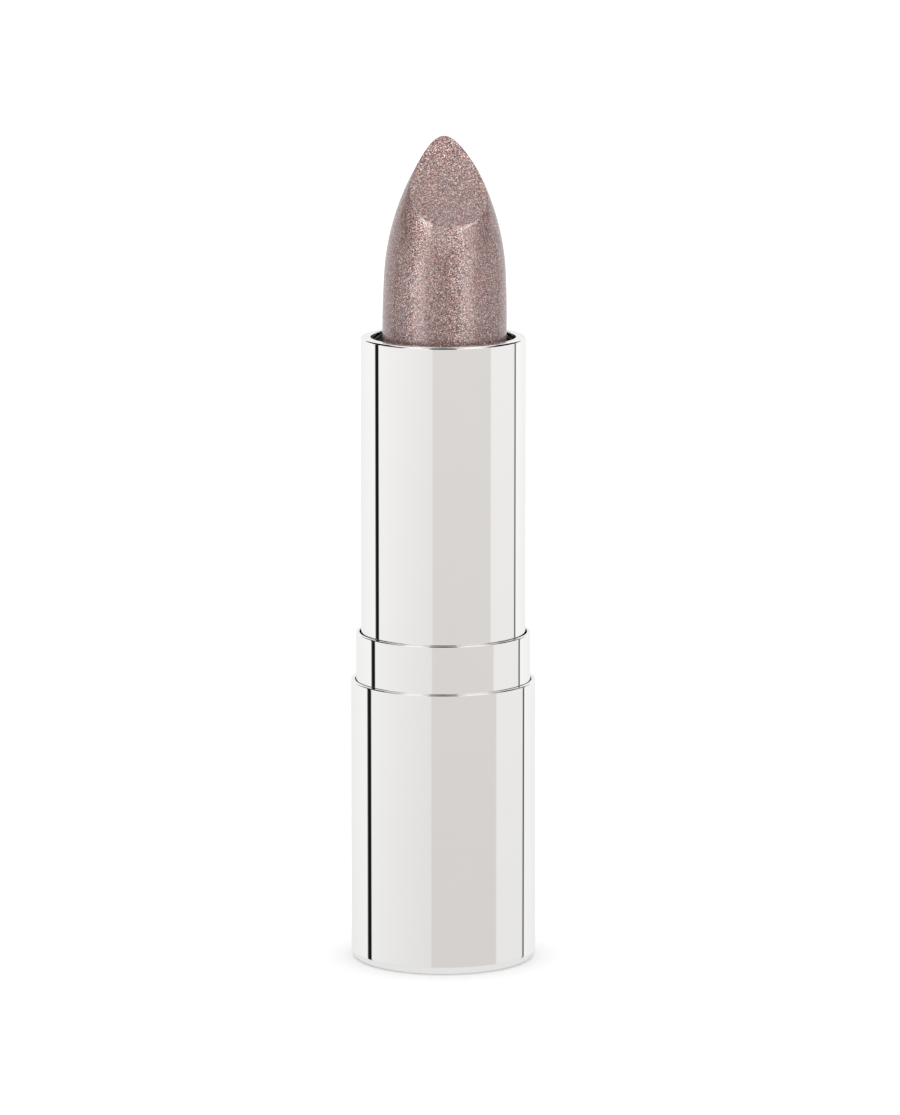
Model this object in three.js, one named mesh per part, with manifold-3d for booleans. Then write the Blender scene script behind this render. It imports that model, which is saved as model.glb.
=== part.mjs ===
// A twist-up lipstick case, standing on its base with the bullet wound right up.
// Millimetres, +Z up. The origin is the middle of the base's underside, and the bullet's slant faces -Y.
//
// Three groups move against each other. The base (shell, liner, weight, label, collar and guide tube)
// stands still. The barrel (upper tube and cam sleeve) turns on it about Z. The carrier (cup and bullet) has
// two lugs. They stand in slots of the guide tube, which keep it from turning, and reach into the cam
// sleeve's helical slots, which make it climb.

import * as THREE from "three";
import { mergeVertices } from "three/addons/utils/BufferGeometryUtils.js";
import Module from "manifold-3d";

const wasm = await Module();
wasm.setup();

// ---------------------------------------------------------------- driving dimensions

const bulletRadius = 6.05;
const tubeRadius = 8.05;
const collarRadius = 8.55;
const baseRadius = 9.05;

const baseTop = 27.8;
const collarTop = 32.5;
const tubeTop = 61.6;

const shellWall = 0.42; // drawn aluminium of the base shell and the upper tube
const collarWall = 0.36;
const edgeRound = 0.15; // rolled edges on top of the base shell and the collar
const footRound = 0.8; // round between the base's side and its underside
const pressGap = 0.1; // between pieces that are pressed together
const runGap = 0.08; // between pieces that slide or turn on each other

const travel = 21.6; // how far the carrier climbs
const turns = 1.5; // turns of the barrel that it takes
const lead = travel / turns;

// ---------------------------------------------------------------- places worked out from them

const baseBore = baseRadius - shellWall;
const collarBore = collarRadius - collarWall;
const tubeBore = tubeRadius - shellWall;

const labelPocketDepth = 0.3;
const labelPocketRadius = 7.3;
const baseFloorTop = 0.9;

const linerBottom = baseFloorTop + pressGap;
const collarBottom = 20;
const linerTop = 26.2;
const flangeBottom = linerTop + pressGap;
const flangeTop = 27.2;
const barrelBottom = 27.5; // the upper tube and the cam sleeve end here, just above the flange

const lipBottom = tubeTop - 1.1;
const lipRadius = 7.05; // the mouth that the bullet comes out of
const camTop = lipBottom - 0.5;
const guideTop = lipBottom - 0.3;
const cupTop = lipBottom - 0.4;

const camOuter = tubeBore - pressGap;
const camBore = 6.92;
const guideOuter = camBore - runGap;
const guideBore = 6.48;
const cupOuter = guideBore - runGap;
const cupWall = 0.38;

const lugRadius = 0.8;
const lugReach = 7.42; // the lugs' ends, measured from the axis
const lugGap = 0.15; // between a lug and the sides of a guide slot
const lugHigh = 52.8; // height of the lugs' middle with the bullet up
const lugLow = lugHigh - travel;
const lugAngles = [0, Math.PI]; // the two lugs stand opposite each other, on the X axis
const cupBottom = lugHigh - 1.4;
const cupFloor = 0.8;

const round = 48; // segments of a full circle
const roundSmall = 20; // and of a small one
const roundLarge = 144; // and of the scoop's

// ---------------------------------------------------------------- shape helpers

const deg = THREE.MathUtils.degToRad;
const point = (r, z) => new THREE.Vector2(r, z);

// Points of an arc in the profile plane, from one angle to the other, both ends included.
function arc(r, z, radius, from, to, steps) {
  return Array.from({ length: steps + 1 }, (_, i) => {
    const a = from + ((to - from) * i) / steps;
    return point(Math.max(0, r + radius * Math.cos(a)), z + radius * Math.sin(a));
  });
}

// Turns a profile of (radius, height) points about Z. The profile runs anticlockwise, or from the bottom of
// the axis round the outside to its top.
function revolve(profile) {
  return new THREE.LatheGeometry(profile, round).rotateX(Math.PI / 2);
}

function disc(radius, bottom, top) {
  return new THREE.CylinderGeometry(radius, radius, top - bottom, round)
    .rotateX(Math.PI / 2)
    .translate(0, 0, (bottom + top) / 2);
}

function solid(geometry) {
  const bare = geometry.index ? geometry.toNonIndexed() : geometry.clone();
  bare.deleteAttribute("normal");
  bare.deleteAttribute("uv");
  const merged = mergeVertices(bare, 1e-4);
  return new wasm.Manifold(
    new wasm.Mesh({
      numProp: 3,
      vertProperties: merged.attributes.position.array,
      triVerts: new Uint32Array(merged.index.array),
    }),
  );
}

function geometryOf(manifold) {
  const mesh = manifold.getMesh();
  return new THREE.BufferGeometry()
    .setAttribute("position", new THREE.BufferAttribute(new Float32Array(mesh.vertProperties), 3))
    .setIndex(new THREE.BufferAttribute(new Uint32Array(mesh.triVerts), 1));
}

function cut(body, ...cutters) {
  return geometryOf(cutters.reduce((left, cutter) => left.subtract(solid(cutter)), solid(body)));
}

function join(body, ...additions) {
  return geometryOf(additions.reduce((whole, added) => whole.add(solid(added)), solid(body)));
}

// ---------------------------------------------------------------- base

// A deep-drawn cup with a rounded foot, a rolled top edge and a shallow pocket underneath for the label.
function baseShell() {
  return revolve([
    point(0, labelPocketDepth),
    point(labelPocketRadius, labelPocketDepth),
    point(labelPocketRadius, 0),
    ...arc(baseRadius - footRound, footRound, footRound, -Math.PI / 2, 0, 6),
    ...arc(baseRadius - edgeRound, baseTop - edgeRound, edgeRound, 0, Math.PI / 2, 3),
    point(baseBore, baseTop),
    point(baseBore, baseFloorTop),
    point(0, baseFloorTop),
  ]);
}

// The plastic core of the base: a pocket for the weight below, and a socket for the guide tube's stem above.
function baseLiner() {
  const outer = baseBore - pressGap;
  const neck = collarBore - pressGap;
  const pocket = { radius: 6.3, top: 9.4 };
  const relief = { radius: 5, top: 15.9 };
  const vent = 1.5;
  const socket = { radius: 6.45, bottom: 17.2 };
  return revolve([
    point(pocket.radius, linerBottom),
    point(outer, linerBottom),
    point(outer, collarBottom - pressGap),
    point(neck, collarBottom - pressGap),
    point(neck, linerTop),
    point(socket.radius, linerTop),
    point(socket.radius, socket.bottom),
    point(vent, socket.bottom),
    point(vent, relief.top),
    point(relief.radius, relief.top),
    point(relief.radius, pocket.top),
    point(pocket.radius, pocket.top),
    point(pocket.radius, linerBottom),
  ]);
}

// A steel slug that keeps the case upright and gives it its heft.
function baseWeight() {
  const radius = 6.2;
  const bottom = linerBottom + 0.2;
  const chamfer = 0.4;
  const top = bottom + 8;
  return revolve([
    point(0, bottom),
    point(radius - chamfer, bottom),
    point(radius, bottom + chamfer),
    point(radius, top - chamfer),
    point(radius - chamfer, top),
    point(0, top),
  ]);
}

function baseLabel() {
  const inset = 0.05;
  const thickness = 0.15;
  const top = labelPocketDepth - inset;
  return disc(labelPocketRadius - 0.2, top - thickness, top);
}

// The band between the base and the upper tube. A cap would slide over it.
function collarRing() {
  return revolve([
    point(collarBore, collarBottom),
    point(collarRadius, collarBottom),
    ...arc(collarRadius - edgeRound, collarTop - edgeRound, edgeRound, 0, Math.PI / 2, 3),
    point(collarBore, collarTop),
    point(collarBore, collarBottom),
  ]);
}

// The slotted tube that the cup climbs in, with a flange, a ribbed stem pressed into the liner, and a bead
// that the cam sleeve snaps over.
function guideTube() {
  const stemBore = 5;
  const stemRadius = 6.1;
  const stemBottom = 17.5;
  const flangeRadius = collarBore - 2 * pressGap;
  const bead = { radius: 7.15, bottom: 28.2, top: 29, taper: 0.3 };
  const body = revolve([
    point(stemBore, stemBottom),
    point(stemRadius, stemBottom),
    point(stemRadius, flangeBottom),
    point(flangeRadius, flangeBottom),
    point(flangeRadius, flangeTop),
    point(guideOuter, flangeTop),
    point(guideOuter, bead.bottom),
    point(bead.radius, bead.bottom + bead.taper),
    point(bead.radius, bead.top - bead.taper),
    point(guideOuter, bead.top),
    point(guideOuter, guideTop),
    point(guideBore, guideTop),
    point(guideBore, flangeTop),
    point(stemBore, flangeTop),
    point(stemBore, stemBottom),
  ]);

  const ribCount = 8;
  const rib = { reach: 6.35, root: 5.7, width: 0.7, bottom: stemBottom + 0.3, top: flangeBottom - 0.3 };
  const ribs = Array.from({ length: ribCount }, (_, i) =>
    new THREE.BoxGeometry(rib.reach - rib.root, rib.width, rib.top - rib.bottom)
      .translate((rib.reach + rib.root) / 2, 0, (rib.bottom + rib.top) / 2)
      .rotateZ((i * 2 * Math.PI) / ribCount),
  );

  const slotDepth = 2; // more than the wall, so that each slot goes right through
  const slotWidth = 2 * (lugRadius + lugGap);
  const slotBottom = lugLow - lugRadius - 2 * lugGap;
  const slotTop = lugHigh + lugRadius + 2 * lugGap;
  const slots = lugAngles.map((angle) =>
    new THREE.BoxGeometry(slotDepth, slotWidth, slotTop - slotBottom)
      .translate(guideOuter, 0, (slotBottom + slotTop) / 2)
      .rotateZ(angle),
  );
  return cut(join(body, ...ribs), ...slots);
}

// ---------------------------------------------------------------- barrel

// The visible tube. Its mouth is rolled inwards to a thick, rounded lip.
function upperTube() {
  const outerRound = 0.25;
  const innerRound = 0.25;
  const chamfer = 0.15;
  return revolve([
    point(tubeBore, barrelBottom),
    point(tubeRadius, barrelBottom),
    ...arc(tubeRadius - outerRound, tubeTop - outerRound, outerRound, 0, Math.PI / 2, 4),
    ...arc(lipRadius + innerRound, tubeTop - innerRound, innerRound, Math.PI / 2, Math.PI, 3),
    point(lipRadius, lipBottom + chamfer),
    point(lipRadius + chamfer, lipBottom),
    point(tubeBore, lipBottom),
    point(tubeBore, barrelBottom),
  ]);
}

// A bar of rectangular section along a helix, used to cut one slot. It rises as it goes anticlockwise.
function helicalBar(inner, outer, height, fromAngle, toAngle, fromZ, steps) {
  const corners = [];
  for (let i = 0; i <= steps; i++) {
    const angle = fromAngle + ((toAngle - fromAngle) * i) / steps;
    const z = fromZ + (lead * (angle - fromAngle)) / (2 * Math.PI);
    for (const [r, dz] of [
      [inner, -height / 2],
      [outer, -height / 2],
      [outer, height / 2],
      [inner, height / 2],
    ]) {
      corners.push(r * Math.cos(angle), r * Math.sin(angle), z + dz);
    }
  }
  const faces = [0, 1, 2, 0, 2, 3];
  for (let i = 0; i < steps; i++) {
    for (let side = 0; side < 4; side++) {
      const a = 4 * i + side;
      const b = 4 * i + ((side + 1) % 4);
      faces.push(a, a + 4, b, b, a + 4, b + 4);
    }
  }
  const end = 4 * steps;
  faces.push(end, end + 2, end + 1, end, end + 3, end + 2);
  return new THREE.BufferGeometry()
    .setAttribute("position", new THREE.Float32BufferAttribute(corners, 3))
    .setIndex(faces);
}

// The sleeve inside the upper tube. Its two helical slots go right through its wall.
function camSleeve() {
  const snap = { radius: 7.25, bottom: 28, top: 29.2, taper: 0.3 };
  const body = revolve([
    point(camBore, barrelBottom),
    point(camOuter, barrelBottom),
    point(camOuter, camTop),
    point(camBore, camTop),
    point(camBore, snap.top),
    point(snap.radius, snap.top - snap.taper),
    point(snap.radius, snap.bottom + snap.taper),
    point(camBore, snap.bottom),
    point(camBore, barrelBottom),
  ]);
  const slotHeight = 2.1;
  const slotSteps = 56;
  const margin = 0.4; // how far the cutter stands out on both sides of the wall
  const overrun = deg(8); // of each slot past the lugs' ends of travel
  const sweep = turns * 2 * Math.PI;
  const lowEnd = lugLow - (lead * overrun) / (2 * Math.PI);
  const slots = lugAngles.map((angle) => {
    const from = angle - sweep - overrun;
    const to = angle + overrun;
    return helicalBar(camBore - margin, camOuter + margin, slotHeight, from, to, lowEnd, slotSteps);
  });
  return cut(body, ...slots);
}

// ---------------------------------------------------------------- carrier

// The cup that holds the bullet, with a lug on each side.
function bulletCup() {
  const bore = cupOuter - cupWall;
  const drain = 2.2;
  const body = revolve([
    point(drain, cupBottom),
    point(cupOuter, cupBottom),
    point(cupOuter, cupTop),
    point(bore, cupTop),
    point(bore, cupBottom + cupFloor),
    point(drain, cupBottom + cupFloor),
    point(drain, cupBottom),
  ]);
  const root = bore + cupWall / 4; // the lugs start inside the cup's wall
  const lugs = lugAngles.map((angle) =>
    new THREE.CylinderGeometry(lugRadius, lugRadius, lugReach - root, roundSmall)
      .rotateZ(Math.PI / 2)
      .translate((lugReach + root) / 2, 0, lugHigh)
      .rotateZ(angle),
  );
  return join(body, ...lugs);
}

// The wax: a cylinder under a pointed dome that leans back, with a shallow scoop taken out of its front.
function lipstickBullet() {
  const stemRadius = cupOuter - cupWall - 2 * pressGap;
  const stemBottom = cupBottom + cupFloor + pressGap;
  const shoulder = cupTop + pressGap;

  // The dome's side is a long arc and then a tighter one, under a cone.
  const sideStart = 62.55;
  const sideArc = 99.5;
  const bendHeight = 67.75;
  const bendArc = 22.6;
  const coneHeight = 77.75;
  const bendAngle = Math.asin((bendHeight - sideStart) / sideArc);
  const sideCentre = bulletRadius - sideArc;
  const bendCentre = sideCentre + (sideArc - bendArc) * Math.cos(bendAngle);
  const bendCentreHeight = sideStart + (sideArc - bendArc) * Math.sin(bendAngle);
  const coneAngle = Math.asin((coneHeight - bendCentreHeight) / bendArc);
  const coneRadius = bendCentre + bendArc * Math.cos(coneAngle);
  const domeTop = coneHeight + coneRadius / Math.tan(coneAngle);
  const dome = revolve([
    point(0, stemBottom),
    point(stemRadius, stemBottom),
    point(stemRadius, shoulder),
    point(bulletRadius, shoulder),
    ...arc(sideCentre, sideStart, sideArc, 0, bendAngle, 3),
    ...arc(bendCentre, bendCentreHeight, bendArc, bendAngle, coneAngle, 12).slice(1),
    point(0, domeTop),
  ]);

  // Its top stands back from the axis, and a hair to one side.
  const leanBack = 4.04;
  const leanAside = 0.17;
  const place = dome.getAttribute("position");
  for (let i = 0; i < place.count; i++) {
    const climb = Math.max(0, (place.getZ(i) - sideStart) / (domeTop - sideStart));
    place.setX(i, place.getX(i) + leanAside * climb);
    place.setY(i, place.getY(i) + leanBack * climb ** 2);
  }

  const scoopHeight = 75.5; // where the scoop crosses the axis
  const scoopAngle = deg(48.45); // its slope there, from upright
  const scoopArc = 23.55; // radius of its hollow
  const scoopTurn = deg(9); // how far it faces round from -Y towards +X
  const scoop = new THREE.CylinderGeometry(scoopArc, scoopArc, 4 * bulletRadius, roundLarge)
    .rotateZ(Math.PI / 2)
    .translate(0, -scoopArc * Math.cos(scoopAngle), scoopHeight + scoopArc * Math.sin(scoopAngle))
    .rotateZ(scoopTurn);
  return cut(dome, scoop);
}

// ---------------------------------------------------------------- materials and assembly

function finish(color, roughness, metalness) {
  return new THREE.MeshStandardMaterial({ color, roughness, metalness });
}

const materials = {
  mirrorAluminium: finish(0xe6e4e2, 0.06, 1),
  blackPlastic: finish(0x1b191a, 0.4, 0),
  whitePlastic: finish(0xe8e6e2, 0.45, 0),
  steel: finish(0x8f8f92, 0.35, 1),
  paper: finish(0xf2f1ef, 0.6, 0),
  wax: finish(0xa58f8b, 0.42, 0.15),
};

function piece(name, geometry, material) {
  const mesh = new THREE.Mesh(geometry, material);
  mesh.name = name;
  return mesh;
}

const base = new THREE.Group().add(
  piece("base_shell", baseShell(), materials.mirrorAluminium),
  piece("base_liner", baseLiner(), materials.whitePlastic),
  piece("base_weight", baseWeight(), materials.steel),
  piece("base_label", baseLabel(), materials.paper),
  piece("collar_ring", collarRing(), materials.mirrorAluminium),
  piece("guide_tube", guideTube(), materials.blackPlastic),
);

const barrel = new THREE.Group().add(
  piece("upper_tube", upperTube(), materials.mirrorAluminium),
  piece("cam_sleeve", camSleeve(), materials.blackPlastic),
);

const bullet = piece("lipstick_bullet", lipstickBullet(), materials.wax);
bullet.position.x = 0.13; // the wax sits a hair off the cup's axis
const carrier = new THREE.Group().add(piece("bullet_cup", bulletCup(), materials.blackPlastic), bullet);

export default new THREE.Group().add(base, barrel, carrier);
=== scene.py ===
import math

import bmesh
import bpy
from mathutils import Matrix, Vector


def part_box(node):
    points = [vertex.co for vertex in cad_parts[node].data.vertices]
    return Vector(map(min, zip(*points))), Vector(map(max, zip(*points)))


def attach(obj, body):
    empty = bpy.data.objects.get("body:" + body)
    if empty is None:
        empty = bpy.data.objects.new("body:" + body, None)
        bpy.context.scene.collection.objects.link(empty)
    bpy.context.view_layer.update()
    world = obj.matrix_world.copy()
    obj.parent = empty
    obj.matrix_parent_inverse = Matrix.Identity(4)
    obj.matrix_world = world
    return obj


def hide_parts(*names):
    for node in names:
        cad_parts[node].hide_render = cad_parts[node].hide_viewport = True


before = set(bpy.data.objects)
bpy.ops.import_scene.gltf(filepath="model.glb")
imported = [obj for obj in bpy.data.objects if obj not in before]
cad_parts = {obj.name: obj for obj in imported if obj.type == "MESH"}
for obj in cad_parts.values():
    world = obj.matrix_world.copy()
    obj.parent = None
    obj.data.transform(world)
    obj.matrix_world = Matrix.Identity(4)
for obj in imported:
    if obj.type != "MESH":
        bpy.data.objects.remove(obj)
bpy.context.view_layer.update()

MM = 0.001
SEGMENTS = 192  # of a full turn
ARC_STEPS = 8  # of a rounded corner
SUPPORT = 0.03 * MM  # a corner's flats are held straight from this far beside its arc
ON_AXIS = 0.0001 * MM


# ---------------------------------------------------------------- mesh helpers


def add_piece(name, mesh, material, body, node):
    """Adds a finished mesh as the piece that stands for a CAD node."""
    piece = bpy.data.objects.new(name, mesh)
    bpy.context.scene.collection.objects.link(piece)
    mesh.materials.append(material)
    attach(piece, body)
    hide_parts(node)
    return piece


def skin(name, rings, closed=False):
    """A smooth mesh over rings of points: SEGMENTS in each, or one where the skin comes together."""
    build = bmesh.new()
    rows = [[build.verts.new(point) for point in ring] for ring in rings]
    for low, high in zip(rows, rows[1:] + (rows[:1] if closed else [])):
        for i in range(SEGMENTS):
            j = (i + 1) % SEGMENTS
            around = (low[i % len(low)], low[j % len(low)], high[j % len(high)], high[i % len(high)])
            build.faces.new(dict.fromkeys(around))
    bmesh.ops.recalc_face_normals(build, faces=build.faces)
    for face in build.faces:
        face.smooth = True
    mesh = bpy.data.meshes.new(name)
    build.to_mesh(mesh)
    build.free()
    return mesh


def circle(radius, height):
    """The points of a ring about Z, or the one point on the axis."""
    if radius < ON_AXIS:
        return [(0, 0, height)]
    turns = (2 * math.pi * i / SEGMENTS for i in range(SEGMENTS))
    return [(radius * math.cos(a), radius * math.sin(a), height) for a in turns]


def rounded(corners):
    """Profile points from (radius, height, round) corners in millimetres, each with its own round."""
    points = []
    for i, (radius, height, round_off) in enumerate(corners):
        corner = Vector((radius, height))
        if not round_off:
            points.append(corner)
            continue
        back = (Vector(corners[i - 1][:2]) - corner).normalized()
        ahead = (Vector(corners[(i + 1) % len(corners)][:2]) - corner).normalized()
        half = back.angle(ahead) / 2
        start = corner + back * round_off / math.tan(half)
        end = corner + ahead * round_off / math.tan(half)
        middle = corner + (back + ahead).normalized() * round_off / math.sin(half)
        sweep = math.copysign(math.pi - 2 * half, back.cross(ahead))
        points.append(start + back * SUPPORT / MM)
        for step in range(ARC_STEPS + 1):
            spoke = start - middle
            spoke.rotate(Matrix.Rotation(-sweep * step / ARC_STEPS, 2))
            points.append(middle + spoke)
        points.append(end + ahead * SUPPORT / MM)
    return [point * MM for point in points]


def revolve(name, corners, closed=False):
    return skin(name, [circle(*point) for point in rounded(corners)], closed)


# ---------------------------------------------------------------- material helpers


def new_material(name, **constants):
    """A Principled material with constant inputs set, and what it takes to build more of its nodes."""
    material = bpy.data.materials.new(name)
    material.use_nodes = True
    nodes, links = material.node_tree.nodes, material.node_tree.links
    shader = nodes["Principled BSDF"]
    for label, value in constants.items():
        shader.inputs[label.replace("_", " ").title().replace("Ior", "IOR")].default_value = value
    return material, nodes, links, shader


def add_node(nodes, kind, **settings):
    node = nodes.new(kind)
    for label, value in settings.items():
        setattr(node, label, value)
    return node


def add_noise(nodes, links, scale, detail=2.0, stretch=(1, 1, 1)):
    """Noise in the piece's own space. scale is in lumps per metre."""
    where = nodes.new("ShaderNodeTexCoord")
    place = nodes.new("ShaderNodeMapping")
    place.inputs["Scale"].default_value = stretch
    noise = nodes.new("ShaderNodeTexNoise")
    noise.inputs["Scale"].default_value = scale
    noise.inputs["Detail"].default_value = detail
    links.new(where.outputs["Object"], place.inputs["Vector"])
    links.new(place.outputs["Vector"], noise.inputs["Vector"])
    return noise.outputs["Fac"]


def map_range(nodes, links, source, low, high):
    """Spreads a 0 to 1 value over low to high."""
    spread = nodes.new("ShaderNodeMapRange")
    spread.inputs["To Min"].default_value = low
    spread.inputs["To Max"].default_value = high
    links.new(source, spread.inputs["Value"])
    return spread.outputs["Result"]


def mix_shades(nodes, links, share, dark, light, shader):
    """Base colour that wanders between two shades."""
    shade = add_node(nodes, "ShaderNodeMix", data_type="RGBA")
    shade.inputs["A"].default_value = dark
    shade.inputs["B"].default_value = light
    links.new(share, shade.inputs["Factor"])
    links.new(shade.outputs["Result"], shader.inputs["Base Color"])


def add_bump(nodes, links, source, shader, height):
    bump = nodes.new("ShaderNodeBump")
    bump.inputs["Distance"].default_value = height
    links.new(source, bump.inputs["Height"])
    links.new(bump.outputs["Normal"], shader.inputs["Normal"])


# ---------------------------------------------------------------- materials


def mirror_aluminium():
    """Polished and bright anodised: a mirror with the faintest drawing lines and unevenness."""
    material, nodes, links, shader = new_material("mirror_aluminium", metallic=1.0)
    tint = add_noise(nodes, links, 90, 3)
    mix_shades(nodes, links, tint, (0.93, 0.922, 0.915, 1), (0.955, 0.95, 0.945, 1), shader)
    lines = add_noise(nodes, links, 400, 3, stretch=(1, 1, 0.05))
    links.new(map_range(nodes, links, lines, 0.012, 0.035), shader.inputs["Roughness"])
    add_bump(nodes, links, add_noise(nodes, links, 220, 1, stretch=(1, 1, 0.3)), shader, 0.002 * MM)
    return material


def black_plastic():
    material, nodes, links, shader = new_material("black_plastic", specular_ior_level=0.4)
    grain = add_noise(nodes, links, 2500, 2)
    mix_shades(nodes, links, grain, (0.008, 0.007, 0.008, 1), (0.016, 0.014, 0.015, 1), shader)
    links.new(map_range(nodes, links, grain, 0.3, 0.5), shader.inputs["Roughness"])
    add_bump(nodes, links, grain, shader, 0.004 * MM)
    return material


def glitter_wax():
    """Satin wax full of fine metallic flakes: each flake has its own shade and its own tilt."""
    material, nodes, links, shader = new_material(
        "glitter_wax", metallic=0.42, coat_weight=0.68, coat_roughness=0.14, coat_ior=1.45
    )
    where = nodes.new("ShaderNodeTexCoord")
    flakes = add_node(nodes, "ShaderNodeTexVoronoi", feature="F1")
    flakes.inputs["Scale"].default_value = 1 / (0.07 * MM)
    links.new(where.outputs["Object"], flakes.inputs["Vector"])
    chance = nodes.new("ShaderNodeSeparateColor")
    links.new(flakes.outputs["Color"], chance.inputs["Color"])

    shades = nodes.new("ShaderNodeValToRGB")
    ramp = shades.color_ramp
    ramp.interpolation = "LINEAR"
    ramp.elements[0].position = 0.0
    ramp.elements[0].color = (0.043, 0.026, 0.034, 1)
    ramp.elements[1].position = 1.0
    ramp.elements[1].color = (0.50, 0.462, 0.45, 1)
    for position, colour in (
        (0.3, (0.092, 0.056, 0.065, 1)),
        (0.5, (0.25, 0.128, 0.098, 1)),
        (0.7, (0.163, 0.154, 0.171, 1)),
        (0.85, (0.39, 0.208, 0.157, 1)),
    ):
        ramp.elements.new(position).color = colour
    links.new(chance.outputs["Red"], shades.inputs["Fac"])
    links.new(shades.outputs["Color"], shader.inputs["Base Color"])
    links.new(map_range(nodes, links, chance.outputs["Green"], 0.3, 0.45), shader.inputs["Roughness"])

    surface = nodes.new("ShaderNodeNewGeometry")
    centred = add_node(nodes, "ShaderNodeVectorMath", operation="SUBTRACT")
    centred.inputs[1].default_value = (0.5, 0.5, 0.5)
    links.new(flakes.outputs["Color"], centred.inputs[0])
    tilt = add_node(nodes, "ShaderNodeVectorMath", operation="MULTIPLY_ADD")
    tilt.inputs[1].default_value = (0.3, 0.3, 0.3)
    links.new(centred.outputs["Vector"], tilt.inputs[0])
    links.new(surface.outputs["Normal"], tilt.inputs[2])
    level = add_node(nodes, "ShaderNodeVectorMath", operation="NORMALIZE")
    links.new(tilt.outputs["Vector"], level.inputs[0])
    links.new(level.outputs["Vector"], shader.inputs["Normal"])
    return material


def label_paper():
    material, nodes, links, shader = new_material("label_paper", specular_ior_level=0.3)
    fibres = add_noise(nodes, links, 3000, 4)
    mix_shades(nodes, links, fibres, (0.80, 0.79, 0.78, 1), (0.88, 0.875, 0.87, 1), shader)
    links.new(map_range(nodes, links, fibres, 0.5, 0.7), shader.inputs["Roughness"])
    add_bump(nodes, links, fibres, shader, 0.005 * MM)
    return material


def white_plastic():
    material, nodes, links, shader = new_material("white_plastic", specular_ior_level=0.4)
    grain = add_noise(nodes, links, 1500, 2)
    mix_shades(nodes, links, grain, (0.74, 0.73, 0.70, 1), (0.80, 0.79, 0.765, 1), shader)
    links.new(map_range(nodes, links, grain, 0.4, 0.55), shader.inputs["Roughness"])
    add_bump(nodes, links, grain, shader, 0.006 * MM)
    return material


def turned_steel():
    material, nodes, links, shader = new_material("turned_steel", metallic=1.0)
    rings = add_noise(nodes, links, 600, 3, stretch=(1, 1, 12))
    mix_shades(nodes, links, rings, (0.42, 0.42, 0.43, 1), (0.56, 0.56, 0.57, 1), shader)
    links.new(map_range(nodes, links, rings, 0.25, 0.45), shader.inputs["Roughness"])
    add_bump(nodes, links, rings, shader, 0.008 * MM)
    return material


# ---------------------------------------------------------------- pieces


def base_shell(material):
    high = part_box("base_shell")[1]
    outer, top = high.x / MM, high.z / MM
    wall, floor, foot_round = 0.42, 0.9, 0.8
    pocket, pocket_depth = 7.3, 0.3
    corners = [
        (0, pocket_depth, 0),
        (pocket, pocket_depth, 0.05),
        (pocket, 0, 0.06),
        (outer, 0, foot_round),
        (outer, top, 0.12),
        (outer - wall, top, 0.06),
        (outer - wall, floor, 0.3),
        (0, floor, 0),
    ]
    mesh = revolve("base_shell_skin", corners)
    add_piece("base_shell_skin", mesh, material, "base", "base_shell")


def collar_ring(material):
    low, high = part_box("collar_ring")
    outer, bottom, top = high.x / MM, low.z / MM, high.z / MM
    bore = outer - 0.36
    corners = [
        (bore, bottom, 0.05),
        (outer, bottom, 0.05),
        (outer, top, 0.12),
        (bore, top, 0.06),
    ]
    mesh = revolve("collar_ring_skin", corners, closed=True)
    add_piece("collar_ring_skin", mesh, material, "base", "collar_ring")


def upper_tube(material):
    low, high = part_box("upper_tube")
    outer, bottom, top = high.x / MM, low.z / MM, high.z / MM
    bore = outer - 0.42
    mouth = outer - 1.0
    lip = top - 1.1
    corners = [
        (bore, bottom, 0.05),
        (outer, bottom, 0.1),
        (outer, top, 0.26),
        (mouth, top, 0.1),
        (mouth, lip, 0.15),
        (bore, lip, 0.1),
    ]
    mesh = revolve("upper_tube_skin", corners, closed=True)
    add_piece("upper_tube_skin", mesh, material, "barrel", "upper_tube")


def base_label(material):
    low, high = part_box("base_label")
    outer, bottom, top = high.x / MM, low.z / MM, high.z / MM
    corners = [(0, bottom, 0), (outer, bottom, 0.04), (outer, top, 0.04), (0, top, 0)]
    mesh = revolve("base_label_skin", corners)
    add_piece("base_label_skin", mesh, material, "base", "base_label")


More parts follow.
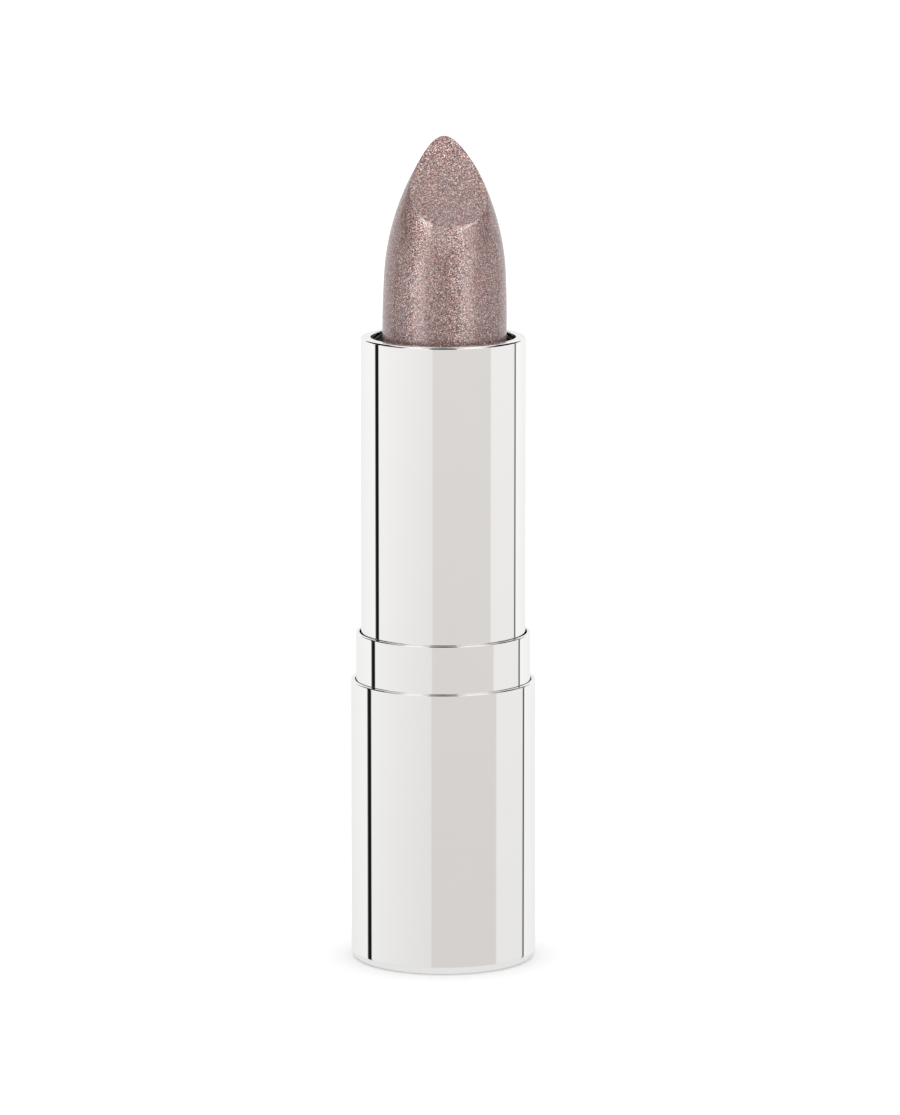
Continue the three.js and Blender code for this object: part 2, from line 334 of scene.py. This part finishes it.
class Bullet:
    """The wax's shape in millimetres: a dome that leans back, with a shallow scoop out of its front."""

    radius = 6.05
    side_start, side_arc = 62.55, 99.5
    bend_height, bend_arc = 67.75, 22.6
    cone_height = 77.75
    lean_back, lean_aside = 4.04, 0.17
    scoop_height, scoop_slope, scoop_arc, scoop_turn = 75.64, math.radians(49.3), 23.55, math.radians(9)
    edge_down, edge_in = 0.08, 0.85  # the reach of the scoop's rounded edge down the dome and inwards

    def __init__(self):
        bend = math.asin((self.bend_height - self.side_start) / self.side_arc)
        self.side_centre = self.radius - self.side_arc
        self.bend_centre = self.side_centre + (self.side_arc - self.bend_arc) * math.cos(bend)
        self.bend_middle = self.side_start + (self.side_arc - self.bend_arc) * math.sin(bend)
        cone = math.asin((self.cone_height - self.bend_middle) / self.bend_arc)
        cone_radius = self.bend_centre + self.bend_arc * math.cos(cone)
        self.cone_slope = math.tan(cone)
        self.top = self.cone_height + cone_radius / self.cone_slope

    def radius_at(self, height):
        if height < self.side_start:
            return self.radius
        if height < self.bend_height:
            return self.side_centre + math.sqrt(self.side_arc**2 - (height - self.side_start) ** 2)
        if height < self.cone_height:
            return self.bend_centre + math.sqrt(self.bend_arc**2 - (height - self.bend_middle) ** 2)
        return (self.top - height) * self.cone_slope

    def on_dome(self, turn, height):
        climb = max(0.0, (height - self.side_start) / (self.top - self.side_start))
        radius = self.radius_at(height)
        x = radius * math.cos(turn) + self.lean_aside * climb
        y = radius * math.sin(turn) + self.lean_back * climb**2
        return Vector((x, y, height))

    def outside_scoop(self, point):
        """How far a point stands clear of the scoop's cylinder."""
        across = point.y * math.cos(self.scoop_turn) - point.x * math.sin(self.scoop_turn)
        y = across + self.scoop_arc * math.cos(self.scoop_slope)
        z = point.z - self.scoop_height - self.scoop_arc * math.sin(self.scoop_slope)
        return math.hypot(y, z) - self.scoop_arc

    def edge_at(self, turn):
        """The height at which the dome's line at this turn runs into the scoop."""
        low, high = self.side_start, self.top
        for _ in range(40):
            middle = (low + high) / 2
            if self.outside_scoop(self.on_dome(turn, middle)) > 0:
                low = middle
            else:
                high = middle
        return low

    def on_scoop(self, x, z):
        """The scoop's surface at a sideways place and a height, both in the scoop's own direction."""
        up = z - self.scoop_height - self.scoop_arc * math.sin(self.scoop_slope)
        y = math.sqrt(self.scoop_arc**2 - up**2) - self.scoop_arc * math.cos(self.scoop_slope)
        return Matrix.Rotation(self.scoop_turn, 3, "Z") @ Vector((x, y, z))

    def meridian(self, turn, middle, wall_steps=40, edge_steps=6, scoop_steps=14):
        """Points up the dome, over the scoop's rounded edge and down the scoop to near its middle."""
        crest_height = self.edge_at(turn)
        crest = self.on_dome(turn, crest_height)
        flat = Matrix.Rotation(-self.scoop_turn, 3, "Z") @ crest
        inward = Vector((middle[0] - flat.x, 0, middle[1] - flat.z))
        share = self.edge_in / (inward.length / math.sin(self.scoop_slope) + self.edge_in)

        wall_top = crest_height - self.edge_down
        wall = [
            self.on_dome(turn, self.side_start + (wall_top - self.side_start) * i / wall_steps)
            for i in range(wall_steps + 1)
        ]
        scoop = []
        for i in range(scoop_steps):
            reach = share + (1 - share) * i / scoop_steps
            scoop.append(self.on_scoop(flat.x + inward.x * reach, flat.z + inward.z * reach))
        edge = []
        for i in range(1, edge_steps):
            t = i / edge_steps
            edge.append(wall[-1] * (1 - t) ** 2 + crest * 2 * t * (1 - t) + scoop[0] * t**2)
        return wall + edge + scoop


def lipstick_bullet(material):
    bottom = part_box("lipstick_bullet")[0].z / MM
    shape = Bullet()
    scoop_middle = (0.0, 76.6)
    turns = [2 * math.pi * i / SEGMENTS for i in range(SEGMENTS)]
    lines = [shape.meridian(turn, scoop_middle) for turn in turns]
    stem_radius, shoulder, stem_top = 5.82, 60.2, 61.5
    stem = [
        (0, bottom, 0),
        (stem_radius, bottom, 0.3),
        (stem_radius, shoulder, 0),
        (shape.radius, shoulder, 0.1),
        (shape.radius, stem_top, 0),
    ]
    rings = [circle(*point) for point in rounded(stem)]
    rings += [[line[i] * MM for line in lines] for i in range(len(lines[0]))]
    rings.append([shape.on_scoop(*scoop_middle) * MM])
    mesh = skin("lipstick_bullet_skin", rings)
    off_axis = 0.13 * MM
    mesh.transform(Matrix.Translation((off_axis, 0, 0)))
    return add_piece("lipstick_bullet_skin", mesh, material, "carrier", "lipstick_bullet")


# ---------------------------------------------------------------- studio


def add_camera():
    distance, pitch = 0.63535, math.radians(9.95)
    aim = Vector((0.00066, 0, 0.03976))
    lens = bpy.data.cameras.new("camera")
    lens.sensor_width = 36
    lens.lens = 210
    camera = bpy.data.objects.new("camera", lens)
    camera.location = aim + distance * Vector((0, -math.cos(pitch), math.sin(pitch)))
    camera.rotation_euler = (math.pi / 2 - pitch, 0, 0)
    bpy.context.scene.collection.objects.link(camera)
    bpy.context.scene.camera = camera


def add_floor():
    """A wide pale floor. Mirrors look past it, and the studio has a pale ground of its own for them."""
    mesh = bpy.data.meshes.new("floor")
    half = 20.0
    corners = [(-half, -half, 0), (half, -half, 0), (half, half, 0), (-half, half, 0)]
    mesh.from_pydata(corners, [], [(0, 1, 2, 3)])
    floor = bpy.data.objects.new("floor", mesh)
    pale = (0.98, 0.98, 0.98, 1)
    material = new_material("floor", base_color=pale, roughness=0.9, specular_ior_level=0.0)[0]
    mesh.materials.append(material)
    floor.visible_glossy = False
    bpy.context.scene.collection.objects.link(floor)


# What stands round the case, by bearing in degrees: 0 is at the camera, and it grows towards +X.
# Each entry is (bearing, brightness from there on, brightness where the next entry starts).
STUDIO_WALLS = (
    (-180, 0.9, 1.0),  # left of the backdrop
    (-110, 0.01, 0.01),  # narrow black flag
    (-102, 0.95, 0.85),  # left wall
    (-15, 0.75, 0.75),  # dim side behind the camera
    (70, 0.9, 0.9),  # right wall
    (118, 0.01, 0.01),  # narrow black flag
    (122, 1.0, 0.9),  # right of the backdrop
)
# The same, for what stands above them: pale panels with dark gaps.
UPPER_WALLS = (
    (-180, 1.0, 1.0),
    (-150, 0.01, 0.01),
    (-60, 1.0, 1.0),
    (-20, 0.01, 0.01),
    (20, 1.0, 1.0),
    (70, 0.01, 0.01),
    (150, 1.0, 1.0),
)
# The same, for the ceiling.
CEILING = (
    (-180, 1.0, 1.0),
    (-40, 0.01, 0.01),
    (40, 1.0, 1.0),
)
SEAM = 0.4  # degrees that one entry takes to change into the next


def wall_colour(brightness):
    """Grey, and a little warmer where it is darker, but for the black flags."""
    warmth = 0.14 * max(0, 0.92 - brightness) if brightness > 0.5 else 0
    return (brightness, brightness - warmth, brightness - 1.8 * warmth, 1)


def add_walls(nodes, links, bearing, entries):
    """The colour of one ring of walls at a bearing in radians."""
    share = add_node(nodes, "ShaderNodeMath", operation="MULTIPLY_ADD")
    share.inputs[1].default_value = 1 / (2 * math.pi)
    share.inputs[2].default_value = 0.5
    links.new(bearing, share.inputs[0])
    walls = nodes.new("ShaderNodeValToRGB")
    ramp = walls.color_ramp
    ramp.elements.remove(ramp.elements[1])
    ramp.elements[0].color = wall_colour(entries[0][1])
    ends = [entry[0] for entry in entries[1:]] + [180]
    for (start, near, far), end in zip(entries, ends):
        ramp.elements.new((start + SEAM + 180) / 360).color = wall_colour(near)
        ramp.elements.new((end + 180) / 360).color = wall_colour(far)
    links.new(share.outputs[0], walls.inputs["Fac"])
    return walls.outputs["Color"]


def add_step(nodes, links, source, start, end):
    """0 up to start, 1 from end on, and smooth between them."""
    step = add_node(nodes, "ShaderNodeMapRange", interpolation_type="SMOOTHSTEP")
    step.inputs["From Min"].default_value = start
    step.inputs["From Max"].default_value = end
    links.new(source, step.inputs["Value"])
    return step.outputs["Result"]


def mix_colours(nodes, links, first, second, share):
    mixed = add_node(nodes, "ShaderNodeMix", data_type="RGBA")
    links.new(first, mixed.inputs["A"])
    links.new(second, mixed.inputs["B"])
    links.new(share, mixed.inputs["Factor"])
    return mixed.outputs["Result"]


def sine(degrees):
    return math.sin(math.radians(degrees))


def add_studio():
    """Mirrored rays see a pale room with black flags. All other rays get even white light."""
    world = bpy.data.worlds.new("studio")
    world.use_nodes = True
    nodes, links = world.node_tree.nodes, world.node_tree.links
    nodes.clear()
    where = nodes.new("ShaderNodeTexCoord")
    split = nodes.new("ShaderNodeSeparateXYZ")
    links.new(where.outputs["Generated"], split.inputs["Vector"])
    front = add_node(nodes, "ShaderNodeMath", operation="MULTIPLY")
    front.inputs[1].default_value = -1
    links.new(split.outputs["Y"], front.inputs[0])
    bearing = add_node(nodes, "ShaderNodeMath", operation="ARCTAN2")
    links.new(split.outputs["X"], bearing.inputs[0])
    links.new(front.outputs[0], bearing.inputs[1])

    height = split.outputs["Z"]
    low = add_walls(nodes, links, bearing.outputs[0], STUDIO_WALLS)
    high = add_walls(nodes, links, bearing.outputs[0], UPPER_WALLS)
    room = mix_colours(nodes, links, low, high, add_step(nodes, links, height, sine(14), sine(18)))
    ceiling = add_walls(nodes, links, bearing.outputs[0], CEILING)
    room = mix_colours(nodes, links, room, ceiling, add_step(nodes, links, height, sine(48), sine(52)))
    ground = nodes.new("ShaderNodeRGB")
    ground.outputs[0].default_value = wall_colour(0.95)
    underfoot = add_step(nodes, links, height, sine(-16), sine(-22))
    room = mix_colours(nodes, links, room, ground.outputs[0], underfoot)
    mirrored = nodes.new("ShaderNodeBackground")
    links.new(room, mirrored.inputs["Color"])
    below = nodes.new("ShaderNodeMapRange")
    below.inputs["From Min"].default_value = sine(-20)
    below.inputs["From Max"].default_value = sine(-8)
    below.inputs["To Min"].default_value = 0.86
    links.new(height, below.inputs["Value"])
    links.new(below.outputs["Result"], mirrored.inputs["Strength"])

    even = nodes.new("ShaderNodeBackground")
    even.inputs["Color"].default_value = (1, 1, 1, 1)
    even.inputs["Strength"].default_value = 1.25
    path = nodes.new("ShaderNodeLightPath")
    choice = nodes.new("ShaderNodeMixShader")
    links.new(path.outputs["Is Glossy Ray"], choice.inputs["Fac"])
    links.new(even.outputs["Background"], choice.inputs[1])
    links.new(mirrored.outputs["Background"], choice.inputs[2])
    output = nodes.new("ShaderNodeOutputWorld")
    links.new(choice.outputs["Shader"], output.inputs["Surface"])
    bpy.context.scene.world = world


def add_softbox(name, bearing, elevation, width, height, power, lit):
    """A soft lamp that lights one collection. Its bearing and elevation are in degrees."""
    distance = 0.6
    bearing, elevation = math.radians(bearing), math.radians(elevation)
    lamp = bpy.data.lights.new(name, "AREA")
    lamp.shape = "RECTANGLE"
    lamp.size, lamp.size_y = width, height
    lamp.energy = power
    softbox = bpy.data.objects.new(name, lamp)
    level = math.cos(elevation)
    towards = Vector((math.sin(bearing) * level, -math.cos(bearing) * level, math.sin(elevation)))
    aim = Vector((0, 0, 0.06))
    softbox.location = aim + distance * towards
    softbox.rotation_euler = towards.to_track_quat("Z", "Y").to_euler()
    softbox.visible_camera = False
    softbox.light_linking.receiver_collection = lit
    bpy.context.scene.collection.objects.link(softbox)


add_camera()
add_floor()
add_studio()

aluminium = mirror_aluminium()
plastic = black_plastic()
base_shell(aluminium)
collar_ring(aluminium)
upper_tube(aluminium)
base_label(label_paper())
bullet = lipstick_bullet(glitter_wax())

wax_only = bpy.data.collections.new("wax_only")
wax_only.objects.link(bullet)
add_softbox("softbox_left", -52, 48, 0.26, 0.2, 1.35, wax_only)
add_softbox("softbox_right", 58, 48, 0.4, 0.2, 1.75, wax_only)
add_softbox("strip_left", -48, 2, 0.26, 0.45, 1.15, wax_only)
add_softbox("strip_right", 42, 2, 0.26, 0.45, 1.05, wax_only)
add_softbox("softbox_top", 0, 40, 0.3, 0.2, 0.4, wax_only)

kept = {
    "base_liner": white_plastic(),
    "base_weight": turned_steel(),
    "guide_tube": plastic,
    "cam_sleeve": plastic,
    "bullet_cup": plastic,
}
for node, material in kept.items():
    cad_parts[node].data.materials.clear()
    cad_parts[node].data.materials.append(material)

bpy.context.scene.view_settings.view_transform = "Standard"
